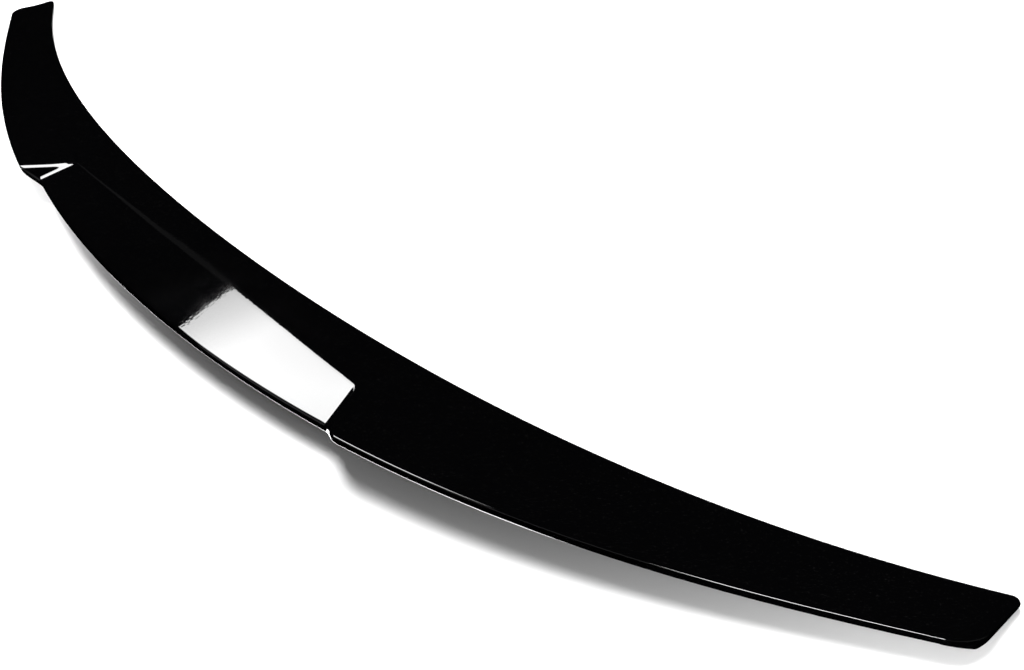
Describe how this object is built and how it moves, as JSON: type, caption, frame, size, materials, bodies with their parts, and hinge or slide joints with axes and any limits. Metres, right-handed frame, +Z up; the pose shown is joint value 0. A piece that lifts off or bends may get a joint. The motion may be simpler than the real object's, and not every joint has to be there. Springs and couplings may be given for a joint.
{
  "type": "car rear spoiler",
  "caption": "Bow-shaped lip spoiler for a car boot lid, with raised wings either side of a recessed centre panel, a rolled trailing lip and a hollow, open underside.",
  "frame": {"origin": "middle of the part's bounding box, at the height of the surface it stands on", "axes": "+X along the span, across the car; +Y towards the front of the car; +Z up"},
  "size_m": [1.1984, 0.2108, 0.0332],
  "materials": {
    "gloss_black": "gloss black lacquered ABS"
  },
  "bodies": {
    "root": {"spoiler_shell": "gloss_black"}
  },
  "joints": []
}
